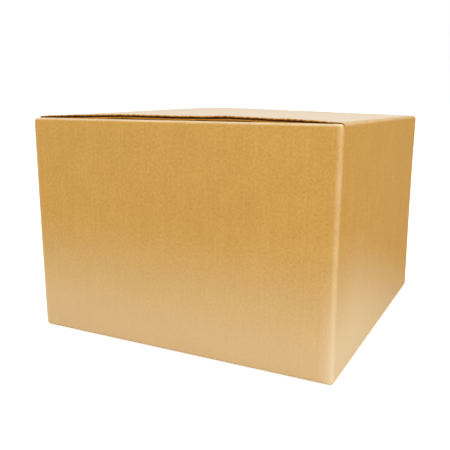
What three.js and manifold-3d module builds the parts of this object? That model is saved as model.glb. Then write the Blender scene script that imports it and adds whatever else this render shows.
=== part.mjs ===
// A square corrugated carton with a tuck-in lid, closed. Millimetres, +Z up, the front faces -Y.
// One blank is folded and glued into walls, bottom and dust flaps. The lid is the blank's top panel,
// hinged on the crease of the right wall, and its tuck flap goes down inside the left wall.
import * as THREE from "three";
import { mergeVertices } from "three/addons/utils/BufferGeometryUtils.js";
import Module from "manifold-3d";

const wasm = await Module();
wasm.setup();

// Outer size of the folded carton. The height is taken over the dust flaps.
const WIDTH = 460;
const DEPTH = 460;
const HEIGHT = 317;

// The board is single wall: two liners with a fluted medium between them.
const BOARD = 4;
const LINER = 0.5;
const MEDIUM = 0.5;
const FLUTE_PITCH = 7.9;
const CUT_DEPTH = 5; // how far the hollow flutes are followed in from a cut edge
const OVERCUT = 1; // how far a cutter reaches past the face that it cuts
const CREASE_RADIUS = BOARD; // a fold turns about the inside of the board
const CREASE_STEPS = 5;
const WELD = 1e-4; // points closer than this are one

// The slots between flaps end at the corners of the carton.
const SLOT_INSET = 5;
const EDGE_SETBACK = 5; // from the front and back faces to the cut edges of the lid
const CLEARANCE = 0.3; // between the lid and what it lies on or turns past

// Flaps at the bottom: the inner pair steps up onto the outer pair.
const SEAM_GAP = 2;
const STEP_START = 6;
const STEP_END = 16;
const INNER_FLAP_INSET = 8;

// Dust flaps on the front and back walls, under the lid.
const DUST_LENGTH = 140;
const DUST_INSET = 18;
const DUST_TAPER = 10;
const DUST_CHAMFER = 14;

// The glue tab goes from the left wall round the back left corner, inside the back wall.
const TAB_WIDTH = 36;
const TAB_BEVEL = 14;
const TAB_END_GAP = 12;
const TAB_SEAM = 0.8;
const TAB_SEAM_DEPTH = 3.4;

// The lid lies on the dust flaps at its two creases, and its panel arches a little between them.
const LID_RISE = 2.7;
const LID_STEPS = 22;
const NOSE_STUB = 1; // straight end of the lid's board under its crease, over the right wall
const LEFT_WALL_DROP = 0.5;
const TUCK_PLAY = 1.5; // from the inside of the left wall to the tuck flap
const TUCK_LENGTH = 70;
const TUCK_LEAN = THREE.MathUtils.degToRad(6);
const TUCK_INSET = 14;
const TUCK_TAPER = 14;

// Colours of the brown paper.
const KRAFT = new THREE.MeshStandardMaterial({ color: 0xc99a56, roughness: 0.75, metalness: 0 });
const KRAFT_LID = new THREE.MeshStandardMaterial({ color: 0xcfa262, roughness: 0.7, metalness: 0 });

const halfWidth = WIDTH / 2;
const halfDepth = DEPTH / 2;
const lidTop = HEIGHT + CLEARANCE + BOARD; // top of the lid at its two creases
const foldCentre = lidTop - CREASE_RADIUS;
const noseEnd = foldCentre - NOSE_STUB;
const rightWallTop = noseEnd - CLEARANCE;
const lidHalfDepth = halfDepth - EDGE_SETBACK;
const tuckFace = -halfWidth + BOARD + TUCK_PLAY;

// Solids

function toSolid(geometry) {
  const plain = geometry.clone();
  plain.deleteAttribute("normal");
  plain.deleteAttribute("uv");
  const merged = mergeVertices(plain, WELD);
  const vertProperties = merged.attributes.position.array;
  const triVerts = new Uint32Array(merged.index.array);
  return new wasm.Manifold(new wasm.Mesh({ numProp: 3, vertProperties, triVerts }));
}

function toGeometry(solid) {
  const mesh = solid.getMesh();
  const geometry = new THREE.BufferGeometry();
  geometry.setAttribute("position", new THREE.BufferAttribute(mesh.vertProperties, 3));
  geometry.setIndex(new THREE.BufferAttribute(mesh.triVerts, 1));
  const flat = geometry.toNonIndexed();
  flat.computeVertexNormals();
  return flat;
}

function joinAll(solids) {
  return solids.reduce((whole, next) => whole.add(next));
}

// Extrudes an outline of [a, b] points along the third axis, from 0 to length.
function prism(points, length) {
  const shape = new THREE.Shape(points.map(([a, b]) => new THREE.Vector2(a, b)));
  return new THREE.ExtrudeGeometry(shape, { depth: length, bevelEnabled: false });
}

// Places a prism: its outline axes a and b and its length run along the three given directions.
function placed(geometry, origin, alongA, alongB) {
  const a = new THREE.Vector3(...alongA);
  const b = new THREE.Vector3(...alongB);
  const matrix = new THREE.Matrix4().makeBasis(a, b, a.clone().cross(b));
  matrix.setPosition(...origin);
  return toSolid(geometry.applyMatrix4(matrix));
}

// Sheets

function arc(centreA, centreB, radius, from, to) {
  const points = [];
  for (let i = 0; i <= CREASE_STEPS; i++) {
    const angle = from + ((to - from) * i) / CREASE_STEPS;
    points.push([centreA + radius * Math.cos(angle), centreB + radius * Math.sin(angle)]);
  }
  return points;
}

// Moves each point of an open line sideways by distance, to the left of its direction.
function shifted(line, distance) {
  return line.map((point, i) => {
    const before = line[Math.max(i - 1, 0)];
    const after = line[Math.min(i + 1, line.length - 1)];
    const into = new THREE.Vector2(point[0] - before[0], point[1] - before[1]).normalize();
    const out = new THREE.Vector2(after[0] - point[0], after[1] - point[1]).normalize();
    if (i === 0) into.copy(out);
    if (i === line.length - 1) out.copy(into);
    const normal = new THREE.Vector2(-(into.y + out.y), into.x + out.x).normalize();
    const reach = distance / normal.dot(new THREE.Vector2(-into.y, into.x));
    return [point[0] + normal.x * reach, point[1] + normal.y * reach];
  });
}

// The section of a layer of board between two depths under its outer line.
function layer(line, from, to) {
  return [...shifted(line, from), ...shifted(line, to).reverse()];
}

// The hollow flutes seen at an edge cut across them, as one cutter. The edge runs along x, the
// thickness of the board along y, and the board lies below z = 0.
function fluteCutter(length) {
  const inner = BOARD - 2 * LINER;
  const slope = Math.atan2(inner, FLUTE_PITCH / 2);
  const apex = MEDIUM / 2 / Math.cos(slope);
  const halfBase = FLUTE_PITCH / 2 - MEDIUM / 2 / Math.sin(slope);
  const count = Math.floor(length / FLUTE_PITCH);
  const start = (-(count - 1) / 2) * FLUTE_PITCH;
  const pockets = [];
  for (let i = 0; i < 2 * count - 1; i++) {
    const middle = start + (i * FLUTE_PITCH) / 2;
    const base = i % 2 ? LINER : BOARD - LINER;
    const tip = i % 2 ? BOARD - LINER - apex : LINER + apex;
    const triangle = [
      [middle - halfBase, base],
      [middle + halfBase, base],
      [middle, tip],
    ];
    const pocket = prism(triangle, CUT_DEPTH + OVERCUT);
    pocket.translate(0, 0, -CUT_DEPTH);
    pockets.push(toSolid(pocket));
  }
  return joinAll(pockets);
}

// Turns and moves a cutter so that its x, y and z lie along the given directions.
function moved(solid, origin, alongX, alongY, alongZ) {
  const basis = [alongX, alongY, alongZ, origin];
  return solid.transform(basis.flatMap((column, i) => [...column, i === 3 ? 1 : 0]));
}

// Walls: a rounded square tube between the folds at the top and bottom.

function walls() {
  const a = halfWidth - CREASE_RADIUS;
  const b = halfDepth - CREASE_RADIUS;
  const outside = [
    ...arc(a, b, CREASE_RADIUS, 0, Math.PI / 2),
    ...arc(-a, b, CREASE_RADIUS, Math.PI / 2, Math.PI),
    ...arc(-a, -b, CREASE_RADIUS, Math.PI, 1.5 * Math.PI),
    ...arc(a, -b, CREASE_RADIUS, 1.5 * Math.PI, 2 * Math.PI),
  ];
  const inside = [
    [a, b],
    [-a, b],
    [-a, -b],
    [a, -b],
  ];
  const full = prism(outside, HEIGHT - 2 * CREASE_RADIUS);
  const hollow = prism(inside, HEIGHT);
  const outer = placed(full, [0, 0, CREASE_RADIUS], [1, 0, 0], [0, 1, 0]);
  return outer.subtract(placed(hollow, [0, 0, 0], [1, 0, 0], [0, 1, 0]));
}

// The section of a quarter-round fold, from the outside of a wall to the top of the flap.
function foldSection() {
  const outer = arc(CREASE_RADIUS, -CREASE_RADIUS, CREASE_RADIUS, Math.PI, Math.PI / 2);
  return [...outer, [CREASE_RADIUS, -CREASE_RADIUS]];
}

function foldOnFront(length) {
  const fold = prism(foldSection(), length);
  return placed(fold, [-length / 2, -halfDepth, HEIGHT], [0, 1, 0], [0, 0, 1]);
}

// Part of the wall above the tube, on the left or the right.
function riser(side, top) {
  const low = HEIGHT - CREASE_RADIUS;
  const section = [
    [0, low],
    [BOARD, low],
    [BOARD, top],
    [0, top],
  ];
  const length = 2 * lidHalfDepth;
  const corner = [side * halfWidth, side * -lidHalfDepth, 0];
  return placed(prism(section, length), corner, [-side, 0, 0], [0, 0, 1]);
}

// Bottom flaps. The outer pair meets under the middle from the left and right walls. The inner
// pair comes from the front and back walls, steps up by one board and is glued to the outer pair.

function outerFlap(side) {
  const spread = halfDepth - STEP_END;
  const reach = halfWidth - SEAM_GAP / 2;
  const outline = [
    [CREASE_RADIUS, -spread],
    [reach, -spread],
    [reach, spread],
    [CREASE_RADIUS, spread],
  ];
  return placed(prism(outline, BOARD), [side * halfWidth, 0, 0], [-side, 0, 0], [0, -side, 0]);
}

function outerFlapFold(side) {
  const length = 2 * (halfDepth - SLOT_INSET);
  const fold = prism(foldSection(), length);
  // Here the fold lies under the wall, so its section is turned over: it points down.
  const corner = [side * halfWidth, (side * length) / 2, 0];
  return placed(fold, corner, [-side, 0, 0], [0, 0, -1]);
}

function innerFlap(side) {
  const outerLine = [
    [halfDepth - SEAM_GAP / 2, BOARD],
    [STEP_END, BOARD],
    [STEP_START, 0],
    [CREASE_RADIUS, 0],
  ];
  const length = WIDTH - 2 * INNER_FLAP_INSET;
  const section = layer(outerLine, 0, -BOARD);
  const corner = [side * (length / 2), side * halfDepth, 0];
  return placed(prism(section, length), corner, [0, -side, 0], [0, 0, 1]);
}

function innerFlapFold(side) {
  const length = 2 * (halfWidth - SLOT_INSET);
  const fold = prism(foldSection(), length);
  const corner = [(-side * length) / 2, side * halfDepth, 0];
  return placed(fold, corner, [0, -side, 0], [0, 0, -1]);
}

// Dust flaps

function dustFlap(side) {
  const root = halfWidth - DUST_INSET;
  const end = root - DUST_TAPER;
  const outline = [
    [-root, CREASE_RADIUS],
    [root, CREASE_RADIUS],
    [end, DUST_LENGTH - DUST_CHAMFER],
    [end - DUST_CHAMFER, DUST_LENGTH],
    [-end + DUST_CHAMFER, DUST_LENGTH],
    [-end, DUST_LENGTH - DUST_CHAMFER],
  ];
  const origin = [0, side * halfDepth, HEIGHT - BOARD];
  const flap = placed(prism(outline, BOARD), origin, [-side, 0, 0], [0, -side, 0]);
  const flutes = moved(
    fluteCutter(2 * (end - DUST_CHAMFER)),
    [0, side * (halfDepth - DUST_LENGTH), HEIGHT - BOARD],
    [side, 0, 0],
    [0, 0, 1],
    [0, -side, 0],
  );
  return flap.subtract(flutes);
}

// Glue tab and the seam that it closes

function glueTab() {
  const low = TAB_END_GAP;
  const high = HEIGHT - TAB_END_GAP;
  const outline = [
    [0, low],
    [TAB_WIDTH, low + TAB_BEVEL],
    [TAB_WIDTH, high - TAB_BEVEL],
    [0, high],
  ];
  const origin = [-halfWidth + BOARD, halfDepth - BOARD, 0];
  return placed(prism(outline, BOARD), origin, [1, 0, 0], [0, 0, 1]);
}

function tabSeam() {
  const section = [
    [-OVERCUT, halfDepth - BOARD],
    [TAB_SEAM_DEPTH, halfDepth - BOARD],
    [TAB_SEAM_DEPTH, halfDepth - BOARD + TAB_SEAM],
    [-OVERCUT, halfDepth - BOARD + TAB_SEAM],
  ];
  const groove = prism(section, HEIGHT + 2 * OVERCUT);
  return placed(groove, [-halfWidth, 0, -OVERCUT], [1, 0, 0], [0, 1, 0]);
}

function cartonBody() {
  const frontFold = foldOnFront(2 * (halfWidth - SLOT_INSET));
  const sheets = [
    walls(),
    frontFold,
    frontFold.rotate([0, 0, 180]),
    riser(-1, HEIGHT - LEFT_WALL_DROP),
    riser(1, rightWallTop),
    glueTab(),
  ];
  for (const side of [-1, 1]) {
    sheets.push(outerFlapFold(side), outerFlap(side));
    sheets.push(innerFlapFold(side), innerFlap(side));
    sheets.push(dustFlap(side));
  }
  const leftEdge = moved(
    fluteCutter(2 * lidHalfDepth),
    [-halfWidth, 0, HEIGHT - LEFT_WALL_DROP],
    [0, -1, 0],
    [1, 0, 0],
    [0, 0, 1],
  );
  return joinAll(sheets).subtract(leftEdge).subtract(tabSeam());
}

// Lid

// The outer line of the lid, from its crease on the right wall over the panel and down the tuck.
function lidLine() {
  const right = halfWidth - CREASE_RADIUS;
  const left = tuckFace + CREASE_RADIUS;
  const nose = [[halfWidth, noseEnd], ...arc(right, foldCentre, CREASE_RADIUS, 0, Math.PI / 2)];
  const panel = [];
  for (let i = 1; i < LID_STEPS; i++) {
    const along = i / LID_STEPS;
    const rise = LID_RISE * (1 - (2 * along - 1) ** 4);
    panel.push([THREE.MathUtils.lerp(right, left, along), lidTop + rise]);
  }
  const fold = arc(left, foldCentre, CREASE_RADIUS, Math.PI / 2, Math.PI + TUCK_LEAN);
  const foot = fold[fold.length - 1];
  const tuck = [foot[0] + TUCK_LENGTH * Math.sin(TUCK_LEAN), foot[1] - TUCK_LENGTH * Math.cos(TUCK_LEAN)];
  return [...nose, ...panel, ...fold, tuck];
}

// A layer of the lid between two depths under its outer line, from y = front to y = back.
function lidLayer(line, from, to, front, back) {
  const section = prism(layer(line, from, to), back - front);
  return placed(section, [0, back, 0], [1, 0, 0], [0, 0, 1]);
}

// What is trimmed from one side of the tuck flap, below the crease.
function tuckTrim(side) {
  const root = halfDepth - TUCK_INSET;
  const low = foldCentre - TUCK_LENGTH - BOARD;
  const outline = [
    [root, foldCentre],
    [root - TUCK_TAPER, low],
    [halfDepth, low],
    [halfDepth, foldCentre],
  ];
  const reach = 2 * TUCK_INSET + TUCK_LENGTH;
  const trim = placed(prism(outline, reach), [-halfWidth, 0, 0], [0, 1, 0], [0, 0, 1]);
  return side > 0 ? trim : trim.mirror([0, 1, 0]);
}

function lid() {
  const line = lidLine();
  const sheet = lidLayer(line, 0, BOARD, -lidHalfDepth, lidHalfDepth);
  // The front and back edges are cut along a flute, so they open into one long hollow.
  const hollow = [line.slice(1, -1), LINER, BOARD - LINER];
  const inner = lidHalfDepth - CUT_DEPTH;
  const outer = lidHalfDepth + OVERCUT;
  const frontHollow = lidLayer(...hollow, -outer, -inner);
  const backHollow = lidLayer(...hollow, inner, outer);
  const tip = line[line.length - 1];
  const flutes = moved(
    fluteCutter(2 * (halfDepth - TUCK_INSET - TUCK_TAPER)),
    [tip[0], 0, tip[1]],
    [0, 1, 0],
    [Math.cos(TUCK_LEAN), 0, Math.sin(TUCK_LEAN)],
    [Math.sin(TUCK_LEAN), 0, -Math.cos(TUCK_LEAN)],
  );
  const cutters = [frontHollow, backHollow, tuckTrim(1), tuckTrim(-1), flutes];
  return cutters.reduce((whole, cutter) => whole.subtract(cutter), sheet);
}

function part(name, solid, material) {
  const mesh = new THREE.Mesh(toGeometry(solid), material);
  mesh.name = name;
  return mesh;
}

const carton = new THREE.Group();
carton.name = "carton";
carton.add(part("carton_body", cartonBody(), KRAFT));
carton.add(part("lid", lid(), KRAFT_LID));

export default carton;
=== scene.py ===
import math

import bmesh
import bpy
import numpy as np
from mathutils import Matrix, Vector, noise


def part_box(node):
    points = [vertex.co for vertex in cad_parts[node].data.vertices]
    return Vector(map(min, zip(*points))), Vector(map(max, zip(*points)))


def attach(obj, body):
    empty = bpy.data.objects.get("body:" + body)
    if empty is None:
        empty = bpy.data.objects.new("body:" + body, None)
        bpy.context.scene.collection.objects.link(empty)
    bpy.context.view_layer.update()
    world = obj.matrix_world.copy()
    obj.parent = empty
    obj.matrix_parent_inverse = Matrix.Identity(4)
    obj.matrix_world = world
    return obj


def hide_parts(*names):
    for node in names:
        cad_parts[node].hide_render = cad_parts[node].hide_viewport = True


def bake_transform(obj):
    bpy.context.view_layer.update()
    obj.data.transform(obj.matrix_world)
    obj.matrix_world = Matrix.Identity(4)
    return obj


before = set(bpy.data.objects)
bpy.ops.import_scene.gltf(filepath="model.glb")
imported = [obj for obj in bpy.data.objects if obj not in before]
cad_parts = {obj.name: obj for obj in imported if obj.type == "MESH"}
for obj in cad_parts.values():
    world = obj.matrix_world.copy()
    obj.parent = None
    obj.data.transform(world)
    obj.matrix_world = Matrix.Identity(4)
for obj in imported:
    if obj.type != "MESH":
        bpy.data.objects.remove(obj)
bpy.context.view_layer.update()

# Walls
# One strip of single wall corrugated board: a brown kraft liner on each side of a fluted medium.
# It is creased into four walls and a glue tab, which is glued inside the back wall.
MM = 0.001
body_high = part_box("carton_body")[1]
lid_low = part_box("lid")[0]
HALF = body_high.x
TOP = body_high.z
BOARD = 4.0 * MM
LINER = 0.4 * MM
PITCH = 7.9 * MM
FOLD = 5.4 * MM
HOLLOW = 12 * MM
WASHBOARD = 0.03 * MM
POINTS_PER_FLUTE = 4
FOLD_STEPS = 6
WALL_STEPS = 8
INSET = HALF - FOLD
LID_HALF = HALF - 7 * MM
SLOT = 0.3 * MM
LEFT_EDGE = TOP - 0.5 * MM
CREASE_START = TOP - 8 * MM
SEAM_GAP = 0.7 * MM
TAB_WIDTH = 36 * MM
TAB_BEVEL = 14 * MM
TAB_END_GAP = 12 * MM
TAB_NARROWEST = 0.05
TAB_FLUTES = 5
TAB_FACE = HALF - BOARD - 0.1 * MM
SUNK_CORNER = 5.2 * MM
BOW = 0.8 * MM
# Rubbed paler folds, partly wear and partly a painted highlight along them: top folds, corners and bottom
# folds.
TOP_FOLD_WEAR_AND_HIGHLIGHT = 1.0
CORNER_WEAR_AND_HIGHLIGHT = 0.35
BOTTOM_FOLD_WEAR_AND_HIGHLIGHT = 0.25
CORNER_WIDTH = 8 * MM
FOLD_WIDTH = 3.4 * MM
# Where the lid's painted sheen begins past the right crease, and how far it takes to come in fully.
PAINTED_SHEEN_FROM = 2 * MM
PAINTED_SHEEN_OVER = 7 * MM
SHARP_ANGLE = math.radians(38)
OUTER_PAPER = 0
INNER_PAPER = 1
MEDIUM_PAPER = 2


def settled(points):
    """The carton has stood in use: its back right corner has sunk and it bows a little to the left."""
    x, y, z = points[:, 0], points[:, 1], points[:, 2]
    right = np.clip((x + HALF) / (2 * HALF), 0, 1)
    back = np.clip((y + HALF) / (2 * HALF), 0, 1)
    high = np.clip(z / TOP, 0, 1.05)
    moved = points.copy()
    moved[:, 0] = x - BOW * np.sin(math.pi * np.clip(high, 0, 1))
    moved[:, 2] = z - SUNK_CORNER * right * back * high**3
    return moved


def crease_wear_and_highlight(points):
    """How far the paper is rubbed paler, partly wear and partly a painted highlight: 1 on the front and
    back top folds, less on the others, else 0.
    """
    reach = [np.abs(points[:, 0]), np.abs(points[:, 1]), np.abs(points[:, 2] - TOP / 2) + HALF - TOP / 2]
    widths = (CORNER_WIDTH, CORNER_WIDTH, FOLD_WIDTH)
    near = [np.clip((r - HALF + w) / (0.75 * w), 0, 1) for r, w in zip(reach, widths)]
    near = [n * n * (3 - 2 * n) for n in near]
    upper = np.where(points[:, 2] > TOP / 2, TOP_FOLD_WEAR_AND_HIGHLIGHT, BOTTOM_FOLD_WEAR_AND_HIGHLIGHT)
    return np.clip(near[0] * near[1] * CORNER_WEAR_AND_HIGHLIGHT + (near[1] + 0.5 * near[0]) * near[2] * upper, 0, 1)


def slab(outer, inner):
    """A closed slab between two grids of points, as vertices and faces."""
    rows, columns = outer.shape[:2]
    size = rows * columns
    index = np.arange(size).reshape(rows, columns)
    a, b, c, d = index[:-1, :-1], index[:-1, 1:], index[1:, 1:], index[1:, :-1]
    above = np.stack([a, b, c, d], -1).reshape(-1, 4)
    below = np.stack([d, c, b, a], -1).reshape(-1, 4) + size
    rim = np.concatenate([index[0], index[1:, -1], index[-1, -2::-1], index[-2:0:-1, 0]])
    after = np.roll(rim, -1)
    sides = np.stack([after, rim, rim + size, after + size], -1)
    vertices = np.concatenate([outer.reshape(-1, 3), inner.reshape(-1, 3)])
    return vertices, np.concatenate([above, below, sides])


def mesh_piece(name, slabs, materials, pale=False):
    """One object from (vertices, faces, material, uv) slabs, settled, with smooth faces.

    Where pale is set, the paper is marked for a painted sheen from the right crease on.
    """
    points, faces, chosen, sheet = [], [], [], []
    count = 0
    for vertices, quads, slot, uv in slabs:
        points.append(vertices)
        faces.append(quads + count)
        chosen.append(np.broadcast_to(slot, len(quads)))
        sheet.append(uv)
        count += len(vertices)
    points, faces = np.concatenate(points), np.concatenate(faces)
    sheet, chosen = np.concatenate(sheet), np.concatenate(chosen)
    mesh = bpy.data.meshes.new(name)
    mesh.from_pydata(settled(points).tolist(), [], faces.tolist())
    mesh.polygons.foreach_set("material_index", chosen.astype(np.int32))
    loops = np.empty(len(mesh.loops), dtype=np.int32)
    mesh.loops.foreach_get("vertex_index", loops)
    mesh.uv_layers.new(name="sheet").data.foreach_set("uv", sheet[loops].ravel())
    crease = mesh.attributes.new("crease", "FLOAT", "POINT")
    crease.data.foreach_set("value", crease_wear_and_highlight(points))
    # Mask for the painted sheen, which pales the lid's colour at a glancing angle.
    painted_sheen_mask = mesh.attributes.new("painted_sheen_mask", "FLOAT", "POINT")
    past_crease = np.clip((HALF - PAINTED_SHEEN_FROM - points[:, 0]) / PAINTED_SHEEN_OVER, 0, 1)
    painted_sheen_mask.data.foreach_set("value", past_crease * pale)
    built = bmesh.new()
    built.from_mesh(mesh)
    bmesh.ops.recalc_face_normals(built, faces=built.faces)
    built.to_mesh(mesh)
    built.free()
    mesh.shade_smooth()
    mesh.set_sharp_from_angle(angle=SHARP_ANGLE)
    for material in materials:
        mesh.materials.append(material)
    piece = bpy.data.objects.new(name, mesh)
    bpy.context.scene.collection.objects.link(piece)
    return piece


def layer(surface, along, across, depth_from, depth_to, slot):
    """A layer of board between two depths under a surface."""
    points, normals, uv = surface(along, across)
    sunk = 0.0
    if depth_from == 0:
        sunk = WASHBOARD * (0.5 - 0.5 * np.cos(2 * math.pi * uv[..., :1] / PITCH))
    vertices, faces = slab(points - normals * (depth_from + sunk), points - normals * depth_to)
    flat_uv = uv.reshape(-1, 2)
    return vertices, faces, slot, np.concatenate([flat_uv, flat_uv])


def trimmed(values, ends):
    """What is left of rows or columns when their two ends are cut back."""
    low, high = values[0] + ends[0], values[-1] - ends[1]
    inside = values[(values > low + 1e-6) & (values < high - 1e-6)]
    return np.concatenate([[low], inside, [high]])


def board(surface, along, across, open_along=(0, 0), open_across=(0, 0)):
    """The layers of a panel. The medium stops short of a cut edge, where its flutes are open."""
    coarse = np.append(across[:-1:POINTS_PER_FLUTE], across[-1])
    core_rows, core_columns = trimmed(along, open_along), trimmed(coarse, open_across)
    return [
        layer(surface, along, across, 0, LINER, OUTER_PAPER),
        layer(surface, core_rows, core_columns, LINER, BOARD - LINER, MEDIUM_PAPER),
        layer(surface, along, coarse, BOARD - LINER, BOARD, INNER_PAPER),
    ]


def spaced(start, end):
    """Places from start to end, several on each flute."""
    count = max(2, round(abs(end - start) / PITCH * POINTS_PER_FLUTE))
    return np.linspace(start, end, count + 1)


def quarter_turn():
    return np.linspace(0, math.pi / 2, FOLD_STEPS + 1)


# The strip as seen from above: each row is a place on the line inside the folds, and the outward
# direction there. It starts at the cut edge of the back wall and ends with the glue tab.
TAB_FOLD = TAB_FACE - FOLD
strip = [(x, INSET, 0, 1) for x in spaced(-HALF + SEAM_GAP, INSET)[:-1]]
strip += [(INSET, INSET, math.sin(a), math.cos(a)) for a in quarter_turn()[:-1]]
RIGHT_WALL_START = len(strip)
strip += [(INSET, y, 1, 0) for y in spaced(INSET, -INSET)[:-1]]
RIGHT_WALL_END = len(strip)
strip += [(INSET, -INSET, math.cos(a), -math.sin(a)) for a in quarter_turn()[:-1]]
strip += [(x, -INSET, 0, -1) for x in spaced(INSET, -INSET)[:-1]]
strip += [(-INSET, -INSET, -math.sin(a), -math.cos(a)) for a in quarter_turn()[:-1]]
LEFT_WALL_START = len(strip)
strip += [(-INSET, y, -1, 0) for y in spaced(-INSET, TAB_FOLD)[:-1]]
strip += [(-INSET, TAB_FOLD, -math.cos(a), math.sin(a)) for a in quarter_turn()]
strip = np.array(strip, dtype=float)
strip_outside = strip[:, :2] + strip[:, 2:] * FOLD
strip_length = np.append(0, np.cumsum(np.linalg.norm(np.diff(strip_outside, axis=0), axis=1)))
RIGHT_WALL_MIDDLE = strip_length[RIGHT_WALL_START] + INSET


def wall_rows(top, folds_over):
    """Rows up a wall: (length along the board, reach outwards, height, tilt)."""
    rows = []
    for a in quarter_turn():
        rows.append((FOLD * a, FOLD * math.sin(a), FOLD - FOLD * math.cos(a), a - math.pi / 2))
    bend = rows[-1][0] - FOLD
    straight_top = top - FOLD if folds_over else top
    rows += [(bend + z, FOLD, z, 0.0) for z in np.linspace(FOLD, straight_top, WALL_STEPS + 1)[1:]]
    if folds_over:
        start = rows[-1][0]
        for a in quarter_turn()[1:]:
            rows.append((start + FOLD * a, FOLD * math.cos(a), straight_top + FOLD * math.sin(a), a))
    return np.array(rows)


def wall_surface(rows):
    """The surface of the strip over lengths up the board and lengths along the strip."""

    def surface(along, across):
        reach, height, tilt = (np.interp(along, rows[:, 0], rows[:, k])[:, None] for k in (1, 2, 3))
        x, y, way_x, way_y = (np.interp(across, strip_length, strip[:, k])[None, :] for k in range(4))
        size = np.hypot(way_x, way_y)
        way_x, way_y = way_x / size, way_y / size
        flat = np.zeros((len(along), len(across)))
        points = np.stack([x + way_x * reach, y + way_y * reach, height + flat], -1)
        normals = np.stack([way_x * np.cos(tilt), way_y * np.cos(tilt), np.sin(tilt) + flat], -1)
        uv = np.stack([across[None, :] + flat, along[:, None] + flat], -1)
        return points, normals, uv

    return surface


def strip_part(start, end):
    inside = strip_length[(strip_length > start + 1e-6) & (strip_length < end - 1e-6)]
    return np.concatenate([[start], inside, [end]])


carton_slabs = []
slot_margin = INSET - LID_HALF - SLOT
right_start = strip_length[RIGHT_WALL_START] + slot_margin
right_end = strip_length[RIGHT_WALL_END] - slot_margin
left_start = strip_length[LEFT_WALL_START] + slot_margin
folded_rows = wall_rows(TOP, True)
for start, end in [(0.0, right_start), (right_end, left_start)]:
    carton_slabs += board(wall_surface(folded_rows), folded_rows[:, 0], strip_part(start, end))
right_rows = wall_rows(CREASE_START, False)
carton_slabs += board(wall_surface(right_rows), right_rows[:, 0], strip_part(right_start, right_end))
left_rows = wall_rows(LEFT_EDGE, False)
left_part = strip_part(left_start, strip_length[-1])
carton_slabs += board(wall_surface(left_rows), left_rows[:, 0], left_part, open_along=(0, HOLLOW))


def tab_surface(along, across):
    z = np.broadcast_to(along[:, None], (len(along), len(across)))
    from_end = np.minimum(z - TAB_END_GAP, TOP - TAB_END_GAP - z)
    width = TAB_WIDTH * np.clip(from_end / TAB_BEVEL, TAB_NARROWEST, 1)
    points = np.stack([-INSET + across[None, :] * width, np.full_like(z, TAB_FACE), z], -1)
    normals = np.zeros_like(points)
    normals[..., 1] = 1
    return points, normals, np.stack([points[..., 0], z], -1)


tab_rows = np.array([
    TAB_END_GAP,
    TAB_END_GAP + TAB_BEVEL,
    TOP / 2,
    TOP - TAB_END_GAP - TAB_BEVEL,
    TOP - TAB_END_GAP,
])
carton_slabs += board(tab_surface, tab_rows, np.linspace(0, 1, TAB_FLUTES * POINTS_PER_FLUTE + 1))

# Dust flaps
# Two short flaps folded in from the front and back walls. The lid lies on them and presses them
# down where it is low. Their free ends are cut across the flutes.
DUST_LENGTH = 140 * MM
DUST_INSET = 18 * MM
DUST_TAPER = 10 * MM
DUST_CHAMFER = 14 * MM
DUST_CORE_SHARE = 0.05
DUST_ROWS_FROM = 14 * MM
DUST_ROWS = 12
UNDER_LID = 0.3 * MM
PRESSED_OVER = 2.4 * MM
CRUSHED = 0.5
CRUSHED_AT_TUCK = 60 * MM
CRUSHED_AT_CREASE = 70 * MM
TUCK_FACE = lid_low.x
LID_LEFT = TUCK_FACE + FOLD
LID_RIGHT = HALF - FOLD
# Height of the lid over the folds of the walls, from its tuck to its crease, in millimetres.
RISE_PLACES = [0.0, 0.04, 0.1, 0.2, 0.32, 0.5, 0.6, 0.7, 0.8, 0.9, 0.96, 1.0]
FRONT_RISE = [2.4, 3.3, 4.2, 5.5, 6.6, 6.0, 6.2, 6.7, 5.2, 3.9, 2.6, 1.6]
BACK_RISE = [4.7, 6.2, 7.1, 7.6, 7.1, 5.6, 4.8, 3.9, 3.2, 2.4, 1.9, 1.6]


def eased(x, places, values):
    """A smooth curve through a few values."""
    x = np.clip(x, places[0], places[-1])
    slopes = np.gradient(values, places)
    places, values = np.array(places), np.array(values)
    k = np.clip(np.searchsorted(places, x, side="right") - 1, 0, len(places) - 2)
    step = places[k + 1] - places[k]
    t = (x - places[k]) / step
    from_values = (1 + 2 * t) * (1 - t) ** 2 * values[k] + t * t * (3 - 2 * t) * values[k + 1]
    from_slopes = t * (1 - t) ** 2 * slopes[k] + t * t * (t - 1) * slopes[k + 1]
    return from_values + step * from_slopes


def lid_height(x, y):
    """Height of the lid's upper face over the floor."""
    share = (x - LID_LEFT) / (LID_RIGHT - LID_LEFT)
    back = np.clip((y + LID_HALF) / (2 * LID_HALF), 0, 1)
    back = back * back * (3 - 2 * back)
    rise = eased(share, RISE_PLACES, FRONT_RISE) * (1 - back) + eased(share, RISE_PLACES, BACK_RISE) * back
    return TOP + rise * MM


def lid_squeeze(x):
    """Thickness of the lid as a share of the board's: it is crushed at both creases."""
    left = np.clip((x - LID_LEFT) / CRUSHED_AT_TUCK, 0, 1)
    right = np.clip((LID_RIGHT - x) / CRUSHED_AT_CREASE, 0, 1)
    full = np.minimum(left, right)
    return CRUSHED + (1 - CRUSHED) * full * (2 - full)


def dust_height(x, y, from_fold):
    """Height of a dust flap's upper face, pressed down by the lid soon after its fold."""
    pressed = np.minimum(TOP, lid_height(x, y) - BOARD * lid_squeeze(x) - UNDER_LID)
    return TOP + (pressed - TOP) * np.clip(from_fold / PRESSED_OVER, 0, 1)


def dust_surface(side):
    def surface(along, across):
        q = along[:, None] + 0 * across[None, :]
        half = HALF - DUST_INSET - DUST_TAPER * (q - FOLD) / (DUST_LENGTH - FOLD)
        half = half - np.maximum(0, q - DUST_LENGTH + DUST_CHAMFER)
        x, y = across[None, :] * half, side * (HALF - q)
        points = np.stack([x, y, dust_height(x, y, q - FOLD)], -1)
        normals = np.zeros_like(points)
        normals[..., 2] = 1
        return points, normals, np.stack([x, q], -1)

    return surface


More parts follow.
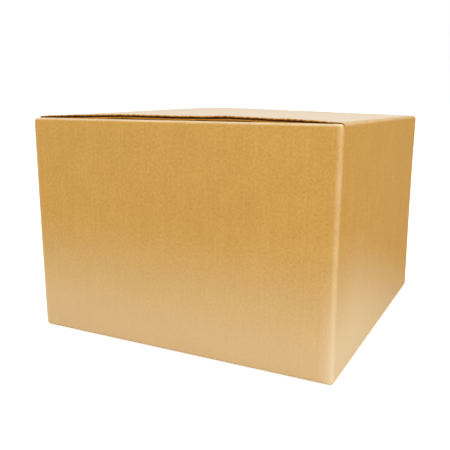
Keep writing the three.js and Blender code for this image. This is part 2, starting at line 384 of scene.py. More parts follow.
dust_rows = np.concatenate([
    FOLD + np.linspace(0, PRESSED_OVER, 3),
    np.linspace(DUST_ROWS_FROM, DUST_LENGTH - DUST_CHAMFER, DUST_ROWS),
    [DUST_LENGTH - DUST_CHAMFER / 2, DUST_LENGTH],
])
dust_columns = np.linspace(-1, 1, round(2 * HALF / PITCH) * POINTS_PER_FLUTE + 1)
for side in (-1, 1):
    carton_slabs += board(
        dust_surface(side),
        dust_rows,
        dust_columns,
        open_along=(0, HOLLOW),
        open_across=(DUST_CORE_SHARE, DUST_CORE_SHARE),
    )

# Bottom flaps
# The inner pair comes from the front and back walls and steps up onto the outer pair, which comes
# from the left and right walls. They are glued where they meet.
SEAM = 1 * MM
STEP_START = 6 * MM
STEP_END = 16 * MM
INNER_FLAP_INSET = 8 * MM


def bottom_surface(side, from_front):
    def surface(along, across):
        q = along[:, None] + 0 * across[None, :]
        edge = across[None, :] + 0 * q
        reach = side * (HALF - q)
        if from_front:
            height = BOARD * np.clip((q - STEP_START) / (STEP_END - STEP_START), 0, 1)
            points = np.stack([edge, reach, height], -1)
        else:
            points = np.stack([reach, edge, 0 * q], -1)
        normals = np.zeros_like(points)
        normals[..., 2] = -1
        return points, normals, np.stack([edge, q], -1)

    return surface


inner_rows = np.array([FOLD, STEP_START, STEP_END, HALF / 2, HALF - SEAM])
inner_columns = spaced(INNER_FLAP_INSET - HALF, HALF - INNER_FLAP_INSET)
outer_rows = np.array([FOLD, HALF / 2, HALF - SEAM])
outer_columns = spaced(STEP_END - HALF, HALF - STEP_END)
for side in (-1, 1):
    carton_slabs += board(bottom_surface(side, True), inner_rows, inner_columns)
    carton_slabs += board(
        bottom_surface(side, False), outer_rows, outer_columns, open_across=(HOLLOW, HOLLOW),
    )

# Kraft paper
# Brown unbleached paper with mottled pulp, short fibres, a few dark specks of bark and faint streaks
# along the flutes. It is rubbed paler on the creases, partly wear and partly a painted highlight along
# the folds. The walls have painted light from the white floor, paler towards it, and the lid's face has
# a painted sheen: its colour turns pale at a glancing angle.
kraft_fibres = bpy.data.node_groups.new("kraft_fibres", "ShaderNodeTree")
for name, kind, value in [
    ("Light", "NodeSocketColor", (0.6, 0.3, 0.07, 1)),
    ("Dark", "NodeSocketColor", (0.5, 0.24, 0.05, 1)),
    ("Rubbed And Lit", "NodeSocketColor", (0.8, 0.62, 0.4, 1)),
    ("Painted Sheen", "NodeSocketFloat", 0.0),
    ("Streaks", "NodeSocketFloat", 0.3),
    ("Wear And Highlight", "NodeSocketFloat", 0.5),
    ("Painted Floor Light", "NodeSocketFloat", 0.6),
    ("Roughness", "NodeSocketFloat", 0.5),
]:
    kraft_fibres.interface.new_socket(name, in_out="INPUT", socket_type=kind).default_value = value
kraft_fibres.interface.new_socket("Color", in_out="OUTPUT", socket_type="NodeSocketColor")
for name in ("Roughness", "Height", "Painted Sheen"):
    kraft_fibres.interface.new_socket(name, in_out="OUTPUT", socket_type="NodeSocketFloat")


def node_in(tree, kind, settings, values, links):
    """A node of a tree: its settings, its inputs' values, and (input, node, output) links."""
    made = tree.nodes.new(kind)
    for name, value in settings.items():
        setattr(made, name, value)
    for name, value in values.items():
        made.inputs[name].default_value = value
    for name, source, output in links:
        tree.links.new(source.outputs[output], made.inputs[name])
    return made


def noise_of(tree, source, output, scale, detail, roughness):
    values = {"Scale": scale, "Detail": detail, "Roughness": roughness}
    return node_in(tree, "ShaderNodeTexNoise", {}, values, [("Vector", source, output)])


def math_of(tree, operation, first, second):
    """A Math node of two inputs, each a number or a (node, output) pair."""
    made = tree.nodes.new("ShaderNodeMath")
    made.operation = operation
    for index, given in enumerate((first, second)):
        if isinstance(given, tuple):
            tree.links.new(given[0].outputs[given[1]], made.inputs[index])
        else:
            made.inputs[index].default_value = given
    return made


def range_of(tree, source, output, low, high, to_low, to_high):
    values = {"From Min": low, "From Max": high, "To Min": to_low, "To Max": to_high}
    return node_in(tree, "ShaderNodeMapRange", {}, values, [("Value", source, output)])


def mix_of(tree, factor, first, second):
    """Mixes two colours, each given as a (node, output) pair."""
    made = tree.nodes.new("ShaderNodeMix")
    made.data_type = "RGBA"
    for index, (source, output) in zip((0, 6, 7), (factor, first, second)):
        tree.links.new(source.outputs[output], made.inputs[index])
    return made


MIXED_COLOUR = 2
CLOUD_SCALE = 26.0
FIBRE_SCALE = 300.0
STREAK_SCALE = 260.0
BARK_SCALE = 70.0
# Painted light from the white floor: the walls turn paler towards the floor, less so towards the back,
# most on the right wall.
FLOOR_LIGHT_TOP = 200 * MM
FLOOR_LIGHT_LOWER_AT_BACK = 120 * MM
FLOOR_LIGHT_LOWERS_FROM = -0.6 * HALF
RIGHT_WALL_FLOOR_LIGHT = 1.9
RIGHT_WALL_BAND = 20 * MM
STREAK_STRETCH = 0.03
FLUTE_SHADE = 0.04
CLOUD_SHARE = 0.25
BARK_BARE_CELLS = 0.86
BARK_COLOUR = (0.26, 0.09, 0.025, 1)
given = kraft_fibres.nodes.new("NodeGroupInput")
place = kraft_fibres.nodes.new("ShaderNodeTexCoord")
sheet = node_in(kraft_fibres, "ShaderNodeUVMap", {"uv_map": "sheet"}, {}, [])
clouds = noise_of(kraft_fibres, place, "Object", CLOUD_SCALE, 5.0, 0.62)
fibres = noise_of(kraft_fibres, place, "Object", FIBRE_SCALE, 4.0, 0.65)
along_flutes = [("Vector", sheet, "UV")]
stretch = {"Scale": (1.0, STREAK_STRETCH, 1.0)}
stretched = node_in(kraft_fibres, "ShaderNodeMapping", {}, stretch, along_flutes)
streaks = noise_of(kraft_fibres, stretched, "Vector", STREAK_SCALE, 2.0, 0.5)
sheet_axes = node_in(kraft_fibres, "ShaderNodeSeparateXYZ", {}, {}, along_flutes)
flute_turn = math_of(kraft_fibres, "MULTIPLY", (sheet_axes, "X"), 2 * math.pi / PITCH)
flute_line = math_of(kraft_fibres, "COSINE", (flute_turn, "Value"), 0.0)
flute_tone = math_of(kraft_fibres, "MULTIPLY", (flute_line, "Value"), FLUTE_SHADE)
streak_tone = math_of(kraft_fibres, "SUBTRACT", (streaks, "Fac"), 0.5)
lines_tone = math_of(kraft_fibres, "ADD", (streak_tone, "Value"), (flute_tone, "Value"))
lines = math_of(kraft_fibres, "MULTIPLY", (lines_tone, "Value"), (given, "Streaks"))
cloud_tone = math_of(kraft_fibres, "MULTIPLY", (clouds, "Fac"), CLOUD_SHARE)
fibre_tone = math_of(kraft_fibres, "MULTIPLY", (fibres, "Fac"), 1 - CLOUD_SHARE)
pulp = math_of(kraft_fibres, "ADD", (cloud_tone, "Value"), (fibre_tone, "Value"))
tone = math_of(kraft_fibres, "ADD", (pulp, "Value"), (lines, "Value"))
share = range_of(kraft_fibres, tone, "Value", 0.36, 0.64, 0.0, 1.0)
paper_colour = mix_of(kraft_fibres, (share, "Result"), (given, "Dark"), (given, "Light"))
on_object = [("Vector", place, "Object")]
bark_places = node_in(kraft_fibres, "ShaderNodeTexVoronoi", {}, {"Scale": BARK_SCALE}, on_object)
bark_near = range_of(kraft_fibres, bark_places, "Distance", 0.03, 0.07, 0.5, 0.0)
bark_split = node_in(kraft_fibres, "ShaderNodeSeparateColor", {}, {}, [("Color", bark_places, "Color")])
bark_rare = math_of(kraft_fibres, "GREATER_THAN", (bark_split, "Red"), BARK_BARE_CELLS)
bark = math_of(kraft_fibres, "MULTIPLY", (bark_near, "Result"), (bark_rare, "Value"))
bark_colour = node_in(kraft_fibres, "ShaderNodeRGB", {}, {}, [])
bark_colour.outputs[0].default_value = BARK_COLOUR
# The painted sheen's mask, set on the lid past its right crease.
painted_sheen_place = node_in(kraft_fibres, "ShaderNodeAttribute", {"attribute_name": "painted_sheen_mask"}, {}, [])
painted_sheen = math_of(kraft_fibres, "MULTIPLY", (painted_sheen_place, "Fac"), (given, "Painted Sheen"))
specked = mix_of(kraft_fibres, (bark, "Value"), (paper_colour, MIXED_COLOUR), (bark_colour, 0))
# Rubbed creases: partly wear, partly a painted highlight along the folds.
crease = node_in(kraft_fibres, "ShaderNodeAttribute", {"attribute_name": "crease"}, {}, [])
patchy = range_of(kraft_fibres, clouds, "Fac", 0.3, 0.7, 0.6, 1.1)
wear_and_highlight_here = math_of(kraft_fibres, "MULTIPLY", (crease, "Fac"), (patchy, "Result"))
wear_and_highlight_amount = math_of(kraft_fibres, "MULTIPLY", (wear_and_highlight_here, "Value"), (given, "Wear And Highlight"))
worn_and_highlighted = mix_of(kraft_fibres, (wear_and_highlight_amount, "Value"), (specked, MIXED_COLOUR), (given, "Rubbed And Lit"))
# Painted floor light: low on the walls the colour is mixed towards the pale colour.
axes = node_in(kraft_fibres, "ShaderNodeSeparateXYZ", {}, {}, on_object)
further_back = range_of(kraft_fibres, axes, "Y", FLOOR_LIGHT_LOWERS_FROM, HALF, 0.0, FLOOR_LIGHT_LOWER_AT_BACK)
from_foot = math_of(kraft_fibres, "ADD", (axes, "Z"), (further_back, "Result"))
low = range_of(kraft_fibres, from_foot, "Value", FLOOR_LIGHT_TOP, 0.0, 0.0, 1.0)
low.interpolation_type = "SMOOTHSTEP"
to_right = range_of(kraft_fibres, axes, "X", HALF - RIGHT_WALL_BAND, HALF, 1.0, RIGHT_WALL_FLOOR_LIGHT)
floor_light_share = math_of(kraft_fibres, "MULTIPLY", (low, "Result"), (to_right, "Result"))
painted_floor_light = math_of(kraft_fibres, "MULTIPLY", (floor_light_share, "Value"), (given, "Painted Floor Light"))
with_painted_floor_light = mix_of(kraft_fibres, (painted_floor_light, "Value"), (worn_and_highlighted, MIXED_COLOUR), (given, "Rubbed And Lit"))
sheen_change = range_of(kraft_fibres, fibres, "Fac", 0.3, 0.7, -0.05, 0.05)
sheen = math_of(kraft_fibres, "ADD", (sheen_change, "Result"), (given, "Roughness"))
result = kraft_fibres.nodes.new("NodeGroupOutput")
kraft_fibres.links.new(with_painted_floor_light.outputs[MIXED_COLOUR], result.inputs["Color"])
kraft_fibres.links.new(sheen.outputs["Value"], result.inputs["Roughness"])
kraft_fibres.links.new(fibres.outputs["Fac"], result.inputs["Height"])
kraft_fibres.links.new(painted_sheen.outputs["Value"], result.inputs["Painted Sheen"])

# Pale colour for the rubbed creases with their painted highlight, and for the painted floor light.
PALE_RUBBED_AND_LIT = (0.85, 0.70, 0.47, 1)
# Colour of the painted sheen on the lid.
PAINTED_SHEEN_COLOUR = (0.79, 0.68, 0.54, 1)
GLANCE_START = 0.62
GLANCE_FULL = 0.92
PAPER_TOOTH = 0.3 * MM


def paper(name, light, dark, streaks, gloss, roughness, bump, wear_and_highlight=0.0, painted_floor_light=0.0, painted_sheen=0.0):
    material = bpy.data.materials.new(name)
    material.use_nodes = True
    tree = material.node_tree
    shader = tree.nodes["Principled BSDF"]
    shader.inputs["Specular IOR Level"].default_value = gloss
    fibres = tree.nodes.new("ShaderNodeGroup")
    fibres.node_tree = kraft_fibres
    for socket, value in [
        ("Light", (*light, 1)),
        ("Dark", (*dark, 1)),
        ("Rubbed And Lit", PALE_RUBBED_AND_LIT),
        ("Painted Sheen", painted_sheen),
        ("Streaks", streaks),
        ("Wear And Highlight", wear_and_highlight),
        ("Painted Floor Light", painted_floor_light),
        ("Roughness", roughness),
    ]:
        fibres.inputs[socket].default_value = value
    tooth = tree.nodes.new("ShaderNodeBump")
    tooth.inputs["Strength"].default_value = bump
    tooth.inputs["Distance"].default_value = PAPER_TOOTH
    tree.links.new(fibres.outputs["Height"], tooth.inputs["Height"])
    tree.links.new(fibres.outputs["Roughness"], shader.inputs["Roughness"])
    tree.links.new(tooth.outputs["Normal"], shader.inputs["Normal"])
    # Painted sheen: where the mask is set, the colour turns pale at a glancing angle.
    seen_from = node_in(tree, "ShaderNodeLayerWeight", {}, {"Blend": 0.5}, [])
    glancing = range_of(tree, seen_from, "Facing", GLANCE_START, GLANCE_FULL, 0.0, 1.0)
    pale_share = math_of(tree, "MULTIPLY", (fibres, "Painted Sheen"), (glancing, "Result"))
    pale = node_in(tree, "ShaderNodeRGB", {}, {}, [])
    pale.outputs[0].default_value = PAINTED_SHEEN_COLOUR
    colour = mix_of(tree, (pale_share, "Value"), (fibres, "Color"), (pale, 0))
    tree.links.new(colour.outputs[MIXED_COLOUR], shader.inputs["Base Color"])
    return material


kraft = paper(
    "kraft_liner",
    light=(0.65, 0.373, 0.098),
    dark=(0.54, 0.297, 0.066),
    streaks=0.16,
    gloss=0.09,
    roughness=0.75,
    bump=0.25,
    # Rubbed creases with a painted highlight, painted floor light on the walls and a painted sheen on the
    # lid.
    wear_and_highlight=0.95,
    painted_floor_light=0.44,
    painted_sheen=0.88,
)
kraft_cut = paper(
    "cut_liner",
    light=(0.62, 0.28, 0.045),
    dark=(0.44, 0.18, 0.025),
    streaks=0.1,
    gloss=0.1,
    roughness=0.8,
    bump=0.4,
)
kraft_inside = paper(
    "kraft_inner_liner",
    light=(0.57, 0.30, 0.09),
    dark=(0.48, 0.24, 0.06),
    streaks=0.2,
    gloss=0.3,
    roughness=0.6,
    bump=0.3,
    wear_and_highlight=0.2,
)
medium = paper(
    "fluted_medium",
    light=(0.45, 0.20, 0.045),
    dark=(0.34, 0.14, 0.028),
    streaks=0.1,
    gloss=0.2,
    roughness=0.7,
    bump=0.4,
)
BOARD_LAYERS = [kraft, kraft_inside, medium]
LID_LAYERS = [kraft, kraft_inside, medium, kraft_cut]

# The walls, the glue tab, the dust flaps and the bottom flaps are one folded sheet.
carton_sheet = mesh_piece("carton_sheet", carton_slabs, BOARD_LAYERS)
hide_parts("carton_body")
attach(carton_sheet, "carton")

# Lid
# The top panel and its tuck flap, in one with the right wall. The panel springs up between its
# creases, and the tuck flap leans away from the left wall.
TUCK_LENGTH = 68 * MM
TUCK_LEAN = math.radians(6)
TUCK_HALF = 214 * MM
TUCK_TAPER = 12 * MM
LID_HOLLOW = 24 * MM
EDGE_HOLLOW = 0.6 * MM
CREASE_END = HALF - 14 * MM
FRAY = 3 * MM
LEAN_TURN = math.pi / 2 + TUCK_LEAN
SLOPE_STEP = 0.5 * MM
WALL_ROWS = 4
NOSE_SIDE_ROWS = 8
PANEL_ROWS = 44
TUCK_ROWS = 14

lid_path = [("wall", z) for z in np.linspace(CREASE_START, TOP - FOLD, WALL_ROWS)[:-1]]
lid_path += [("nose", a) for a in quarter_turn()[:-1]]
lid_path += [("panel", x) for x in np.linspace(LID_RIGHT, CREASE_END, NOSE_SIDE_ROWS)[:-1]]
PANEL_START = len(lid_path)
lid_path += [("panel", x) for x in np.linspace(CREASE_END, LID_LEFT, PANEL_ROWS)]
PANEL_END = len(lid_path) - 1
lid_path += [("fold", a) for a in quarter_turn()[1:]]
lid_path += [("tuck", s) for s in np.linspace(0, TUCK_LENGTH, TUCK_ROWS)[1:]]
LAST_ROW = len(lid_path) - 1


def lid_line(kind, value, y):
    """One line across the lid's upper face: x, z and the normal's x and z."""
    one = np.ones_like(y)
    right = lid_height(one * LID_RIGHT, y)
    left = lid_height(one * LID_LEFT, y) - FOLD
    if kind == "wall":
        share = (value - CREASE_START) / (TOP - FOLD - CREASE_START)
        return one * HALF, CREASE_START + share * (right - FOLD - CREASE_START), one, 0 * one
    if kind == "nose":
        out, up = one * math.cos(value), one * math.sin(value)
        return LID_RIGHT + FOLD * out, right - FOLD + FOLD * up, out, up
    if kind == "fold":
        turn = value * LEAN_TURN * 2 / math.pi
        out, up = -one * math.sin(turn), one * math.cos(turn)
        return LID_LEFT + FOLD * out, left + FOLD * up, out, up
    if kind == "tuck":
        out, up = -one * math.sin(LEAN_TURN), one * math.cos(LEAN_TURN)
        x = LID_LEFT + FOLD * out + value * math.sin(TUCK_LEAN)
        return x, left + FOLD * up - value * math.cos(TUCK_LEAN), out, up
    x = one * value
    rise = lid_height(x + SLOPE_STEP, y) - lid_height(x - SLOPE_STEP, y)
    slope = rise / (2 * SLOPE_STEP) if LID_LEFT + 1e-6 < value < LID_RIGHT - 1e-6 else 0 * one
    size = np.hypot(1, slope)
    return x, lid_height(x, y), -slope / size, 1 / size


def squeeze_at(kind, value, x):
    """The lid's thickness on its panel, and how it comes back to a full board on the wall and the tuck."""
    if kind == "wall":
        return CRUSHED + (1 - CRUSHED) * (TOP - FOLD - value) / (TOP - FOLD - CREASE_START)
    if kind == "tuck":
        return CRUSHED + (1 - CRUSHED) * min(1.0, value / CRUSHED_AT_TUCK)
    return lid_squeeze(x)


def lid_surface(half_width):
    """The lid over row numbers of its path, and columns as shares of its half width."""

    def surface(along, across):
        points, normals, uv = [], [], []
        for row in along.astype(int):
            kind, value = lid_path[row]
            y = across * half_width(kind, value)
            x, z, normal_x, normal_z = lid_line(kind, value, y)
            thick = squeeze_at(kind, value, x)
            points.append(np.stack([x, y, z], -1))
            normals.append(np.stack([normal_x * thick, 0 * y, normal_z * thick], -1))
            uv.append(np.stack([RIGHT_WALL_MIDDLE - y, 0 * y + row * PITCH], -1))
        return np.array(points), np.array(normals), np.array(uv)

    return surface


def full_width(kind, value):
    if kind == "tuck":
        return TUCK_HALF - TUCK_TAPER * value / TUCK_LENGTH
    if kind == "fold" and value > math.pi / 4:
        return TUCK_HALF
    return LID_HALF


def inside_fray(kind, value):
    return LID_HALF - FRAY


def lid_rows(first, last):
    return np.arange(first, last + 1, dtype=float)


lid_columns = np.linspace(-1, 1, round(2 * LID_HALF / PITCH) * POINTS_PER_FLUTE + 1)
core_share = 1 - LID_HOLLOW / LID_HALF
hollow_columns = np.linspace(-core_share, core_share, round(2 * LID_HALF / PITCH))
crushed_columns = hollow_columns / core_share * (1 - EDGE_HOLLOW / LID_HALF)


def lid_board(half_width, first, last, core_last, core_columns):
    surface = lid_surface(half_width)
    rows = lid_rows(first, last)
    core_surface = lid_surface(full_width)
    core_rows = lid_rows(first, core_last)
    return [
        layer(surface, rows, lid_columns, 0, LINER, OUTER_PAPER),
        layer(core_surface, core_rows, core_columns, LINER, BOARD - LINER, MEDIUM_PAPER),
        layer(surface, rows, lid_columns[::POINTS_PER_FLUTE], BOARD - LINER, BOARD, INNER_PAPER),
    ]


lid_slabs = lid_board(inside_fray, PANEL_START, PANEL_END, PANEL_END, hollow_columns)
lid_slabs += lid_board(full_width, PANEL_END, LAST_ROW, LAST_ROW - 2, hollow_columns)

# Cut edges of the lid
# The blade ran along a flute, so the front and back edges are open between the liners. It was
# blunt: it tore the liners into a ragged lip, and the cut medium wanders from one to the other.
EDGE_STEP = 0.6 * MM
UPPER_LIP = 1.25 * MM
LOWER_LIP = 0.7 * MM
LIP_FLARE = 1.5 * MM
LIP_ROWS = 4
LIP_SHARE = 0.42
# Tears along an edge, each with its length and its height.
TEARS = [(1.6 * MM, 0.5 * MM), (6 * MM, 0.7 * MM), (45 * MM, 0.7 * MM)]
SPLITS = [(2.2 * MM, 0.5 * MM), (14 * MM, 0.5 * MM)]
CURLS = [(1.8 * MM, 0.6 * MM), (4 * MM, 0.6 * MM), (30 * MM, 0.8 * MM)]
MEDIUM_TEARS = [(1.8 * MM, 0.8 * MM), (12 * MM, 1.4 * MM)]
CUT_PAPER = 3
MEDIUM_SHEET = 0.25 * MM
MEDIUM_STEP = 1.2 * MM
MEDIUM_ROWS = 17
MEDIUM_CREEP = 0.9
BLADE_DRIFT = 0.021
MEDIUM_SET_BACK = 9 * MM
edge_x = np.arange(LID_LEFT, CREASE_END + EDGE_STEP / 2, EDGE_STEP)


def torn(places, sizes, seed):
    """Ragged values along an edge. Each size is (length of a tear, height of it)."""
    values = np.zeros(len(places))
    for length, height in sizes:
        for i, place in enumerate(places):
            values[i] += height * noise.noise(Vector((place / length, seed, length / MM)))
    return values


def lip(side, lower, rough, seed):
    """A liner's torn lip along the front (-1) or back (1) edge of the lid."""
    tear = torn(edge_x, TEARS, seed) * rough
    thick = LOWER_LIP if lower else UPPER_LIP
    thick = thick + torn(edge_x, SPLITS, seed + 7)
    squeeze = lid_squeeze(edge_x)
    thick = np.minimum(thick, LIP_SHARE * BOARD * squeeze)
    bend = torn(edge_x, CURLS, seed + 19) * squeeze * rough
    upper_face, under_face = [], []
    for step in np.linspace(0, 1, LIP_ROWS):
        y = side * (LID_HALF - FRAY + (FRAY + tear) * step)
        z = lid_height(edge_x, y)
        body = LINER + (thick - LINER) * step**2
        if lower:
            top = z - BOARD * squeeze + (bend - LIP_FLARE * squeeze) * step**2 + body
        else:
            top = z + bend * step**2
        upper_face.append(np.stack([edge_x, y, top], -1))
        under_face.append(np.stack([edge_x, y, top - body], -1))
    vertices, quads = slab(np.array(upper_face), np.array(under_face))
    uv = np.stack([RIGHT_WALL_MIDDLE - vertices[:, 1], vertices[:, 0]], -1)
    slots = np.full(len(quads), CUT_PAPER)
    slots[: (LIP_ROWS - 1) * (len(edge_x) - 1)] = CUT_PAPER if lower else OUTER_PAPER
    return vertices, quads, slots, uv


def edge_medium(side, seed):
    """The last flutes at an edge. The cut crosses them at a small angle."""
    x = np.arange(LID_LEFT, CREASE_END, MEDIUM_STEP)
    tear = torn(x, MEDIUM_TEARS, seed) + MEDIUM_SET_BACK
    rows = []
    for d in np.linspace(LID_HOLLOW, 0, MEDIUM_ROWS):
        y = side * (LID_HALF - np.maximum(d, tear + d * MEDIUM_CREEP))
        turn = 2 * math.pi * (np.abs(y) + BLADE_DRIFT * x) / PITCH
        wave = np.cos(turn) * (BOARD / 2 - LINER - MEDIUM_SHEET)
        rows.append(np.stack([x, y, lid_height(x, y) + lid_squeeze(x) * (wave - BOARD / 2)], -1))
    middle = np.array(rows)
    lift = np.array([0, 0, MEDIUM_SHEET / 2])
    vertices, quads = slab(middle + lift, middle - lift)
    return vertices, quads, MEDIUM_PAPER, vertices[:, :2]


for side, seed, rough in ((-1, 3.0, 1.0), (1, 41.0, 0.4)):
    lid_slabs.append(lip(side, False, rough, seed))
    lid_slabs.append(lip(side, True, rough, seed + 5))
    lid_slabs.append(edge_medium(side, seed + 11))

# pale=True sets the painted sheen mask on the lid.
lid_sheet = mesh_piece("lid_sheet", lid_slabs, LID_LAYERS, pale=True)
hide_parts("lid")
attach(lid_sheet, "lid")

# Lid crease
# The board between the right wall and the lid, crushed by the crease.
crease_slabs = lid_board(full_width, 0, PANEL_START, PANEL_START, crushed_columns)
# The crease also carries the lid's painted sheen mask.
lid_crease = mesh_piece("lid_crease", crease_slabs, BOARD_LAYERS, pale=True)
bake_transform(lid_crease)

# Open flutes
# The medium is one wavy sheet between the liners. It shows where a panel is cut across its flutes:
# on the left wall's top edge, on the ends of the dust flaps and on the end of the tuck flap.
flutes = bpy.data.node_groups.new("open_flutes", "GeometryNodeTree")
flutes.interface.new_socket("Geometry", in_out="OUTPUT", socket_type="NodeSocketGeometry")
flute_inputs = {}
for name, kind, value in [
    ("Length", "NodeSocketFloat", 0.4),
    ("Depth", "NodeSocketFloat", HOLLOW),
    ("Pitch", "NodeSocketFloat", PITCH),
    ("Rise", "NodeSocketFloat", BOARD - 2 * LINER - MEDIUM_SHEET),
    ("Sheet", "NodeSocketFloat", MEDIUM_SHEET),
    ("Crush", "NodeSocketFloat", 0.25),
    ("Seed", "NodeSocketFloat", 1.0),
    ("Material", "NodeSocketMaterial", medium),
]:
    made = flutes.interface.new_socket(name, in_out="INPUT", socket_type=kind)
    made.default_value = value
    flute_inputs[name] = made.identifier
STEPS_ON_FLUTE = 8
ROWS_ALONG_FLUTE = 4
CRUSH_SCALE = 60.0

asked = flutes.nodes.new("NodeGroupInput")
flute_count = math_of(flutes, "DIVIDE", (asked, "Length"), (asked, "Pitch"))
step_count = math_of(flutes, "MULTIPLY", (flute_count, "Value"), STEPS_ON_FLUTE)
flat = node_in(
    flutes,
    "GeometryNodeMeshGrid",
    {},
    {"Vertices Y": ROWS_ALONG_FLUTE},
    [("Size X", asked, "Length"), ("Size Y", asked, "Depth"), ("Vertices X", step_count, "Value")],
)
here = flutes.nodes.new("GeometryNodeInputPosition")
here_axes = node_in(flutes, "ShaderNodeSeparateXYZ", {}, {}, [("Vector", here, "Position")])
turns = math_of(flutes, "DIVIDE", (here_axes, "X"), (asked, "Pitch"))
turn = math_of(flutes, "MULTIPLY", (turns, "Value"), 2 * math.pi)
wave = math_of(flutes, "COSINE", (turn, "Value"), 0.0)
half_rise = math_of(flutes, "MULTIPLY", (asked, "Rise"), 0.5)
full_wave = math_of(flutes, "MULTIPLY", (wave, "Value"), (half_rise, "Value"))
crush_place = math_of(flutes, "ADD", (here_axes, "X"), (asked, "Seed"))
crush_noise = node_in(
    flutes,
    "ShaderNodeTexNoise",
    {"noise_dimensions": "1D"},
    {"Scale": CRUSH_SCALE},
    [("W", crush_place, "Value")],
)
crushed = math_of(flutes, "MULTIPLY", (crush_noise, "Fac"), (asked, "Crush"))
kept = math_of(flutes, "SUBTRACT", 1.0, (crushed, "Value"))
height = math_of(flutes, "MULTIPLY", (full_wave, "Value"), (kept, "Value"))
offset = node_in(flutes, "ShaderNodeCombineXYZ", {}, {}, [("Z", height, "Value")])
flat_moved = [("Geometry", flat, "Mesh"), ("Offset", offset, "Vector")]
waved = node_in(flutes, "GeometryNodeSetPosition", {}, {}, flat_moved)
thick = node_in(
    flutes,
    "GeometryNodeExtrudeMesh",
    {"mode": "FACES"},
    {"Individual": False},
    [("Mesh", waved, "Geometry"), ("Offset Scale", asked, "Sheet")],
)
under = node_in(flutes, "GeometryNodeFlipFaces", {}, {}, [("Mesh", waved, "Geometry")])
closed = flutes.nodes.new("GeometryNodeJoinGeometry")
flutes.links.new(thick.outputs["Mesh"], closed.inputs["Geometry"])
flutes.links.new(under.outputs["Mesh"], closed.inputs["Geometry"])
all_faces = [("Geometry", closed, "Geometry")]
merged = node_in(flutes, "GeometryNodeMergeByDistance", {}, {"Distance": 1e-6}, all_faces)
real = node_in(flutes, "GeometryNodeRealizeInstances", {}, {}, [("Geometry", merged, "Geometry")])
real_in_paper = [("Geometry", real, "Geometry"), ("Material", asked, "Material")]
papered = node_in(flutes, "GeometryNodeSetMaterial", {}, {}, real_in_paper)
answer = flutes.nodes.new("NodeGroupOutput")
flutes.links.new(papered.outputs["Geometry"], answer.inputs["Geometry"])


def open_edge(length, seed, seat):
    """The flutes of one cut edge. seat turns places along, into and across the board into the scene."""
    blank = bpy.data.objects.new("flutes", bpy.data.meshes.new("flutes"))
    bpy.context.scene.collection.objects.link(blank)
    modifier = blank.modifiers.new("flutes", "NODES")
    modifier.node_group = flutes
    modifier[flute_inputs["Length"]] = length
    modifier[flute_inputs["Seed"]] = seed
    shown = blank.evaluated_get(bpy.context.evaluated_depsgraph_get())
    made = bpy.data.meshes.new_from_object(shown)
    blank.modifiers.remove(modifier)
    local = np.array([v.co for v in made.vertices])
    quads = np.array([p.vertices[:] for p in made.polygons])
    bpy.data.objects.remove(blank)
    bpy.data.meshes.remove(made)
    placed = seat(local[:, 0], HOLLOW / 2 - local[:, 1], local[:, 2])
    return placed, quads, 0, local[:, :2]


def left_wall_seat(along, into, across):
    return np.stack([-HALF + BOARD / 2 + across, along, LEFT_EDGE - into], -1)


def dust_seat(side):
    def seat(along, into, across):
        y = side * (HALF - DUST_LENGTH + into)
        return np.stack([along, y, dust_height(along, y, DUST_LENGTH) - BOARD / 2 + across], -1)

    return seat


def tuck_seat(along, into, across):
    x, z, out, up = lid_line("tuck", TUCK_LENGTH, along)
    x = x - out * BOARD / 2 + across * out - into * math.sin(TUCK_LEAN)
    z = z - up * BOARD / 2 + across * up + into * math.cos(TUCK_LEAN)
    return np.stack([x, along, z], -1)


edge_slabs = [open_edge(2 * LID_HALF - PITCH, 1.0, left_wall_seat)]
dust_end = 2 * (HALF - DUST_INSET - DUST_TAPER - DUST_CHAMFER)
for side in (-1, 1):
    edge_slabs.append(open_edge(dust_end, 5.0 + side, dust_seat(side)))
carton_flutes = mesh_piece("carton_flutes", edge_slabs, [medium])
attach(carton_flutes, "carton")

tuck_end = 2 * (TUCK_HALF - TUCK_TAPER)
lid_flutes = mesh_piece("lid_flutes", [open_edge(tuck_end, 9.0, tuck_seat)], [medium])
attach(lid_flutes, "lid")

# Floor
# A plain white floor that runs on to a white background. It keeps the carton's soft shadow, and
# lies just under the carton.
FLOOR_HALF = 20.0
FLOOR_DROP = 0.2 * MM
FLOOR_GLOW = 0.5
floor_mesh = bpy.data.meshes.new("floor")
corners = [(-1, -1), (1, -1), (1, 1), (-1, 1)]
places = [(x * FLOOR_HALF, y * FLOOR_HALF, -FLOOR_DROP) for x, y in corners]
floor_mesh.from_pydata(places, [], [(0, 1, 2, 3)])
floor = bpy.data.objects.new("floor", floor_mesh)
bpy.context.scene.collection.objects.link(floor)
white = bpy.data.materials.new("white_floor")
white.use_nodes = True
floor_shader = white.node_tree.nodes["Principled BSDF"]
floor_shader.inputs["Base Color"].default_value = (0.9, 0.9, 0.9, 1)
floor_shader.inputs["Roughness"].default_value = 0.9
floor_shader.inputs["Specular IOR Level"].default_value = 0.1
floor_shader.inputs["Emission Color"].default_value = (1, 1, 1, 1)


def white_rays(tree):
    """1 for the rays of the camera, of a gloss and through glass, which see plain white."""
    ray = tree.nodes.new("ShaderNodeLightPath")
    seen = math_of(tree, "MAXIMUM", (ray, "Is Camera Ray"), (ray, "Is Glossy Ray"))
    return math_of(tree, "MAXIMUM", (seen, "Value"), (ray, "Is Transmission Ray"))


floor_glow = math_of(white.node_tree, "MULTIPLY", (white_rays(white.node_tree), "Value"), FLOOR_GLOW)
white.node_tree.links.new(floor_glow.outputs["Value"], floor_shader.inputs["Emission Strength"])
floor_mesh.materials.append(white)

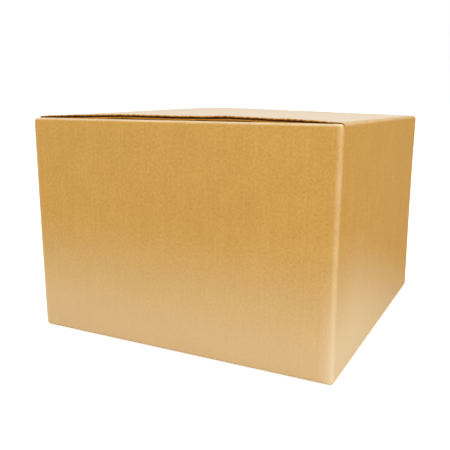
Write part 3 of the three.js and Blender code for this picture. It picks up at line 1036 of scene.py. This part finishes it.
# Light
# A white room, brighter above than at eye level, broad lamps overhead and in front, a warm one at the
# right, and one at the back left that glances off the lid.
ROOM_LOW = 0.35
ROOM_HIGH = 0.8
world = bpy.data.worlds.new("white_room")
world.use_nodes = True
room_tree = world.node_tree
room = room_tree.nodes["Background"]
room.inputs["Color"].default_value = (1, 1, 1, 1)
room_place = room_tree.nodes.new("ShaderNodeTexCoord")
room_axes = node_in(room_tree, "ShaderNodeSeparateXYZ", {}, {}, [("Vector", room_place, "Generated")])
room_level = range_of(room_tree, room_axes, "Z", 0.1, 0.8, ROOM_LOW, ROOM_HIGH)
room_shown = math_of(room_tree, "MAXIMUM", (room_level, "Result"), (white_rays(room_tree), "Value"))
room_tree.links.new(room_shown.outputs["Value"], room.inputs["Strength"])
bpy.context.scene.world = world


def lamp(name, place, aim, size, power, color=(1, 1, 1)):
    data = bpy.data.lights.new(name, "AREA")
    data.shape = "SQUARE"
    data.size = size
    data.energy = power
    data.color = color
    made = bpy.data.objects.new(name, data)
    made.location = place
    made.rotation_euler = (Vector(aim) - Vector(place)).to_track_quat("-Z", "Y").to_euler()
    bpy.context.scene.collection.objects.link(made)


WARM = (1.0, 0.83, 0.52)
lamp("overhead", (0.1, -0.4, 2.4), (0, 0, 0.2), 2.0, 14)
lamp("front", (0.3, -2.6, 1.3), (0, 0, 0.15), 1.6, 15)
lamp("right", (2.2, -1.0, 0.9), (0.2, -0.1, 0.1), 1.2, 12.5, WARM)
lamp("glance", (-1.0, 2.9, 1.25), (0, 0, 0.3), 2.3, 10)

# Camera
# It stands in front of the carton and to its right, a little above the lid, and looks slightly down.
# Its place, turn and lens were fitted to the carton's outline in the photo.
CAMERA_PLACE = (0.4192, -0.8912, 0.3481)
CAMERA_TURN = math.radians(26.99)
CAMERA_DIP = math.radians(12.16)
LENS = 48.05
view = bpy.data.cameras.new("camera")
view.sensor_width = 36.0
view.sensor_fit = "HORIZONTAL"
view.lens = LENS
camera = bpy.data.objects.new("camera", view)
camera.location = CAMERA_PLACE
camera.rotation_euler = (math.pi / 2 - CAMERA_DIP, 0.0, CAMERA_TURN)
bpy.context.scene.collection.objects.link(camera)
bpy.context.scene.camera = camera
bpy.context.scene.view_settings.view_transform = "Standard"
